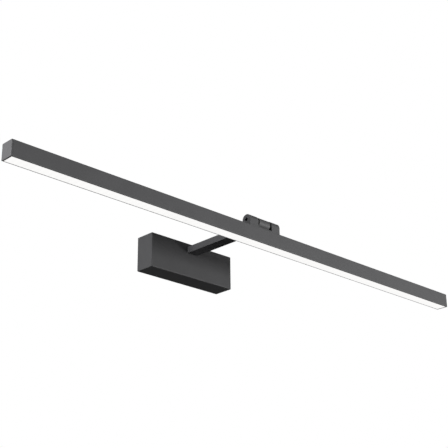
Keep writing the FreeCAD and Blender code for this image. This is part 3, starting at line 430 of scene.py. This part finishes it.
def screwTree():
    # pan-head screws in a row: domed head, cross recess, plain core and a helical thread
    tree, sizes, leave = nodeTree("threadedScrews", {
        "Seat": "Vector", "Pitch": "Vector", "Count": "Int", "Turn": "Vector", "Head Radius": "Float",
        "Head Height": "Float", "Shank Radius": "Float", "Shank Length": "Float", "Thread Pitch": "Float",
        "Finish": "Material",
    })

    def share(size, part):
        return mathNode(tree, "MULTIPLY", sizes[size], part)

    def lifted(geometry, height):
        lift = addNode(tree, "GeometryNodeTransform")
        link(tree, geometry, lift.inputs["Geometry"])
        link(tree, vectorNode(tree, z=height), lift.inputs["Translation"])
        return lift.outputs["Geometry"]

    def cone(sides, bottomRadius, topRadius, depth):
        body = addNode(tree, "GeometryNodeMeshCone", fill_type="NGON")
        body.inputs["Vertices"].default_value = sides
        link(tree, bottomRadius, body.inputs["Radius Bottom"])
        link(tree, topRadius, body.inputs["Radius Top"])
        link(tree, depth, body.inputs["Depth"])
        return body.outputs["Mesh"]

    dome = addNode(tree, "GeometryNodeMeshBoolean", operation="UNION", solver="EXACT")
    for wide, narrow, low, high in screwForm["headBands"]:
        band = cone(
            screwForm["headSides"], share("Head Radius", wide), share("Head Radius", narrow),
            share("Head Height", high - low),
        )
        link(tree, lifted(band, share("Head Height", low)), dome.inputs["Mesh 2"])
    recess = addNode(tree, "GeometryNodeMeshBoolean", operation="DIFFERENCE", solver="EXACT")
    link(tree, dome.outputs["Mesh"], recess.inputs["Mesh 1"])
    long, wide = screwForm["recessLong"], screwForm["recessWide"]
    for across, along in ((long, wide), (wide, long)):
        blade = addNode(tree, "GeometryNodeMeshCube")
        bladeSize = vectorNode(
            tree, share("Head Radius", across), share("Head Radius", along),
            share("Head Height", screwForm["recessDeep"]),
        )
        link(tree, bladeSize, blade.inputs["Size"])
        link(tree, lifted(blade.outputs["Mesh"], sizes["Head Height"]), recess.inputs["Mesh 2"])
    coreRadius = share("Shank Radius", screwForm["coreRadius"])
    core = cone(screwForm["coreSides"], coreRadius, coreRadius, sizes["Shank Length"])
    down = lifted(core, share("Shank Length", -1.0))
    helix = addNode(tree, "GeometryNodeCurveSpiral")
    helix.inputs["Resolution"].default_value = screwForm["helixSteps"]
    threaded = share("Shank Length", screwForm["threadLong"])
    link(tree, mathNode(tree, "DIVIDE", threaded, sizes["Thread Pitch"]), helix.inputs["Rotations"])
    link(tree, coreRadius, helix.inputs["Start Radius"])
    link(tree, coreRadius, helix.inputs["End Radius"])
    link(tree, threaded, helix.inputs["Height"])
    ridge = addNode(tree, "GeometryNodeCurvePrimitiveCircle", mode="RADIUS")
    ridge.inputs["Resolution"].default_value = screwForm["ridgeSides"]
    link(tree, share("Shank Radius", screwForm["ridge"]), ridge.inputs["Radius"])
    thread = addNode(tree, "GeometryNodeCurveToMesh")
    thread.inputs["Fill Caps"].default_value = True
    link(tree, helix.outputs["Curve"], thread.inputs["Curve"])
    link(tree, ridge.outputs["Curve"], thread.inputs["Profile Curve"])
    sunk = lifted(thread.outputs["Mesh"], share("Shank Length", -screwForm["threadDrop"]))
    whole = addNode(tree, "GeometryNodeJoinGeometry")
    for part in (recess.outputs["Mesh"], down, sunk):
        link(tree, part, whole.inputs["Geometry"])
    row = addNode(tree, "GeometryNodeMeshLine", mode="OFFSET")
    link(tree, sizes["Count"], row.inputs["Count"])
    link(tree, sizes["Seat"], row.inputs["Start Location"])
    link(tree, sizes["Pitch"], row.inputs["Offset"])
    copies = addNode(tree, "GeometryNodeInstanceOnPoints")
    link(tree, row.outputs["Mesh"], copies.inputs["Points"])
    link(tree, whole.outputs["Geometry"], copies.inputs["Instance"])
    toRotation = addNode(tree, "FunctionNodeEulerToRotation")
    link(tree, sizes["Turn"], toRotation.inputs["Euler"])
    link(tree, toRotation.outputs["Rotation"], copies.inputs["Rotation"])
    finishTree(tree, copies.outputs["Instances"], sizes["Finish"], leave)
    return tree


# LED packages, their phosphor windows and the resistors between them
chipTree = chipRowTree()
ledRow = {
    "count": 93, "long": 2.8 * mm, "tall": 0.8 * mm, "corner": 0.25 * mm,
    "windowInset": 0.35 * mm, "windowTall": 0.06 * mm,
}
chipLow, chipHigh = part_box("led_chips")
chipMiddleY = (chipLow[1] + chipHigh[1]) / 2
chipWide = chipHigh[1] - chipLow[1]
chipStart = (chipLow[0] + ledRow["long"] / 2, chipMiddleY, chipHigh[2])
chipPitch = (chipHigh[0] - chipLow[0] - ledRow["long"]) / (ledRow["count"] - 1)
growPiece("ledPackages", chipTree, {
    "Start": chipStart, "Pitch": chipPitch, "Count": ledRow["count"], "Long": ledRow["long"],
    "Wide": chipWide, "Tall": ledRow["tall"], "Corner": ledRow["corner"], "Finish": finishes["ledPackage"],
}, "lamp", "led_chips")
# two thirds of each window's height stand out of its package
growPiece("phosphorWindows", chipTree, {
    "Start": (chipStart[0], chipMiddleY, chipLow[2] + ledRow["windowTall"] / 3), "Pitch": chipPitch,
    "Count": ledRow["count"], "Long": ledRow["long"] - 2 * ledRow["windowInset"],
    "Wide": chipWide - 2 * ledRow["windowInset"], "Tall": ledRow["windowTall"],
    "Corner": ledRow["corner"] * 2, "Finish": finishes["ledPhosphor"],
}, "lamp", None)

resistorRow = {
    "count": 31, "long": 2.0 * mm, "bodyLong": 1.3 * mm, "endLong": 0.36 * mm, "corner": 0.06 * mm,
}
resistorLow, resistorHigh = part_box("led_resistors")
resistorLong = resistorRow["long"]
resistorPitch = (resistorHigh[0] - resistorLow[0] - resistorLong) / (resistorRow["count"] - 1)
resistorX = resistorLow[0] + resistorLong / 2
resistorY = (resistorLow[1] + resistorHigh[1]) / 2
endShift = (resistorLong - resistorRow["endLong"]) / 2
resistorParts = {
    "resistorBodies": (0.0, resistorRow["bodyLong"], "resistorBody", "led_resistors"),
    "resistorEndsLeft": (-endShift, resistorRow["endLong"], "solderTin", None),
    "resistorEndsRight": (endShift, resistorRow["endLong"], "solderTin", None),
}
for pieceName, (shift, long, finish, standsFor) in resistorParts.items():
    growPiece(pieceName, chipTree, {
        "Start": (resistorX + shift, resistorY, resistorHigh[2]), "Pitch": resistorPitch,
        "Count": resistorRow["count"], "Long": long, "Wide": resistorHigh[1] - resistorLow[1],
        "Tall": resistorHigh[2] - resistorLow[2], "Corner": resistorRow["corner"],
        "Finish": finishes[finish],
    }, "lamp", standsFor)
print("lamp board: packages, windows and resistors")


# screws with heads, recesses and threads
screwShape = screwTree()
screwShading = 35  # degrees, edges sharper than this stay crisp
screwSets = {  # sizes in millimetres, turns in degrees
    "coverScrewPair": {
        "node": "cover_screws", "count": 2, "headRadius": 2.8, "headHeight": 1.7, "shankRadius": 1.5,
        "shankLength": 6.0, "threadPitch": 0.5, "headSide": (0, 0, 1), "turn": (0, 0, 0),
        "finish": "blackScrew",
    },
    "armScrewPair": {
        "node": "arm_screws", "count": 2, "headRadius": 2.5, "headHeight": 1.9, "shankRadius": 1.5,
        "shankLength": 12.0, "threadPitch": 0.5, "headSide": (0, 1, 0), "turn": (-90, 0, 0),
        "finish": "zincSteel",
    },
    "saddleScrewPair": {
        "node": "bracket_screws", "count": 2, "headRadius": 2.5, "headHeight": 1.7, "shankRadius": 1.5,
        "shankLength": 8.0, "threadPitch": 0.5, "headSide": (0, 0, -1), "turn": (180, 0, 0),
        "finish": "zincSteel",
    },
    "terminalHoldingScrew": {
        "node": "terminal_fixing_screw", "count": 1, "headRadius": 2.2, "headHeight": 1.4,
        "shankRadius": 1.25,
        "shankLength": 8.0, "threadPitch": 0.45, "headSide": (0, -1, 0), "turn": (90, 0, 0),
        "finish": "zincSteel",
    },
    "earthingScrew": {
        "node": "earth_screw", "count": 1, "headRadius": 3.6, "headHeight": 2.2, "shankRadius": 2.0,
        "shankLength": 2.4, "threadPitch": 0.7, "headSide": (0, -1, 0), "turn": (90, 0, 0),
        "finish": "brassPlain",
    },
}


def seatOf(screws):
    # the middle of the head's underside on the first screw of the row, from the CAD box
    low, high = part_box(screws["node"])
    seat = (Vector(low) + Vector(high)) / 2
    seat.x = low[0] + screws["headRadius"] * mm if screws["count"] > 1 else seat.x
    for axis, side in enumerate(screws["headSide"]):
        if side > 0:
            seat[axis] = high[axis] - screws["headHeight"] * mm
        elif side < 0:
            seat[axis] = low[axis] + screws["headHeight"] * mm
    return seat


for pieceName, screws in screwSets.items():
    low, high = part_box(screws["node"])
    span = high[0] - low[0] - 2 * screws["headRadius"] * mm
    growPiece(pieceName, screwShape, {
        "Seat": tuple(seatOf(screws)), "Pitch": (span, 0, 0), "Count": screws["count"],
        "Turn": tuple(math.radians(angle) for angle in screws["turn"]),
        "Head Radius": screws["headRadius"] * mm, "Head Height": screws["headHeight"] * mm,
        "Shank Radius": screws["shankRadius"] * mm, "Shank Length": screws["shankLength"] * mm,
        "Thread Pitch": screws["threadPitch"] * mm, "Finish": finishes[screws["finish"]],
    }, bodyOf[screws["node"]], screws["node"], screwShading)
print("screws:", len(screwSets), "sets")


# a pale floor far below, a white surround and soft lights, and the camera
room = {
    "floorDrop": 2.3, "floorSize": 80.0, "floorTint": (0.86, 0.86, 0.85), "floorMottle": 0.97,
    "floorGlow": 0.75, "floorRough": 0.9, "wallTint": (1.0, 1.0, 1.0),
}
floorMesh = bpy.data.meshes.new("studioFloor")
half = room["floorSize"] / 2
floorMesh.from_pydata(
    [(-half, -half, 0), (half, -half, 0), (half, half, 0), (-half, half, 0)], [], [(0, 1, 2, 3)]
)
floorMesh.transform(Matrix.Translation((0, 0, -room["floorDrop"])))
floor = bpy.data.objects.new("studioFloor", floorMesh)
bpy.context.scene.collection.objects.link(floor)
floorMaterial, floorTree, floorShader, floorCoords = newMaterial("paleFloor")
floorCloud = noise(floorTree, floorCoords, 3.0, 2.0)
floorShade = tuple(room["floorMottle"] * channel for channel in room["floorTint"])
floorTone = twoTone(floorTree, floorCloud, floorShade, room["floorTint"])
link(floorTree, floorTone, floorShader.inputs["Base Color"])
link(floorTree, floorTone, floorShader.inputs["Emission Color"])
floorShader.inputs["Emission Strength"].default_value = room["floorGlow"]
floorShader.inputs["Roughness"].default_value = room["floorRough"]
floorMesh.materials.append(floorMaterial)
floor.visible_diffuse = False
floor.visible_glossy = False

skyLight = {"above": 0.04, "level": 0.42, "below": 0.015, "upperReach": 0.6, "lowerReach": -0.4}
world = bpy.data.worlds.new("paleStudio")
world.use_nodes = True
sky = world.node_tree
sky.nodes.clear()
direction = addNode(sky, "ShaderNodeTexCoord")
split = addNode(sky, "ShaderNodeSeparateXYZ")
link(sky, direction.outputs["Generated"], split.inputs["Vector"])
upper = remap(sky, split.outputs["Z"], skyLight["level"], skyLight["above"], 0.0, skyLight["upperReach"])
darkening = skyLight["below"] - skyLight["level"]
lower = remap(sky, split.outputs["Z"], darkening, 0.0, skyLight["lowerReach"], 0.0)
total = mathNode(sky, "ADD", upper, lower)
softDome = addNode(sky, "ShaderNodeBackground")
softDome.inputs["Color"].default_value = (1, 1, 1, 1)
link(sky, total, softDome.inputs["Strength"])
paleWall = addNode(sky, "ShaderNodeBackground")
paleWall.inputs["Color"].default_value = (*room["wallTint"], 1)
seen = addNode(sky, "ShaderNodeLightPath")
choose = addNode(sky, "ShaderNodeMixShader")
link(sky, seen.outputs["Is Camera Ray"], choose.inputs["Fac"])
link(sky, softDome.outputs["Background"], choose.inputs[1])
link(sky, paleWall.outputs["Background"], choose.inputs[2])
worldOut = addNode(sky, "ShaderNodeOutputWorld")
link(sky, choose.outputs["Shader"], worldOut.inputs["Surface"])
bpy.context.scene.world = world

softboxes = {
    "softboxLeft": {
        "spot": (-2.7, -0.15, 0.0), "aim": (-0.2, -0.1, 0), "size": 1.4, "watts": 122.0, "mirrored": False,
    },
    "softboxLowRight": {
        "spot": (1.4, -2.0, -0.4), "aim": (0, -0.1, 0), "size": 0.5, "watts": 42.0, "mirrored": True,
    },
    "softboxRear": {
        "spot": (0.8, 2.6, 1.3), "aim": (0, -0.1, 0), "size": 1.6, "watts": 150.0, "mirrored": False,
    },
}
for lightName, softbox in softboxes.items():
    lamp = bpy.data.lights.new(lightName, "AREA")
    lamp.shape = "SQUARE"
    lamp.size = softbox["size"]
    lamp.energy = softbox["watts"]
    stand = bpy.data.objects.new(lightName, lamp)
    stand.location = softbox["spot"]
    stand.rotation_mode = "QUATERNION"
    aim = Vector(softbox["aim"]) - Vector(softbox["spot"])
    stand.rotation_quaternion = aim.to_track_quat("-Z", "Y")
    stand.visible_glossy = softbox["mirrored"]  # side lights would glare along the long flat faces
    bpy.context.scene.collection.objects.link(stand)

cameraSetup = {
    "spot": (-0.9429, -1.0702, -0.5127), "turn": 44.047, "rise": 22.096, "roll": -0.615, "lens": 84.54,
    "sensor": 36.0, "nearest": 0.05,
}
turn, rise = math.radians(cameraSetup["turn"]), math.radians(cameraSetup["rise"])
lookAlong = Vector((math.sin(turn) * math.cos(rise), math.cos(turn) * math.cos(rise), math.sin(rise)))
cameraData = bpy.data.cameras.new("studioCamera")
cameraData.lens = cameraSetup["lens"]
cameraData.sensor_width = cameraSetup["sensor"]
cameraData.clip_start = cameraSetup["nearest"]
camera = bpy.data.objects.new("studioCamera", cameraData)
level = lookAlong.to_track_quat("-Z", "Y").to_matrix().to_4x4()
rolled = level @ Matrix.Rotation(math.radians(cameraSetup["roll"]), 4, "Z")
camera.matrix_world = Matrix.Translation(cameraSetup["spot"]) @ rolled
bpy.context.scene.collection.objects.link(camera)
bpy.context.scene.camera = camera
bpy.context.scene.view_settings.view_transform = "Standard"
bpy.context.scene.view_settings.look = "None"
print("studio ready")
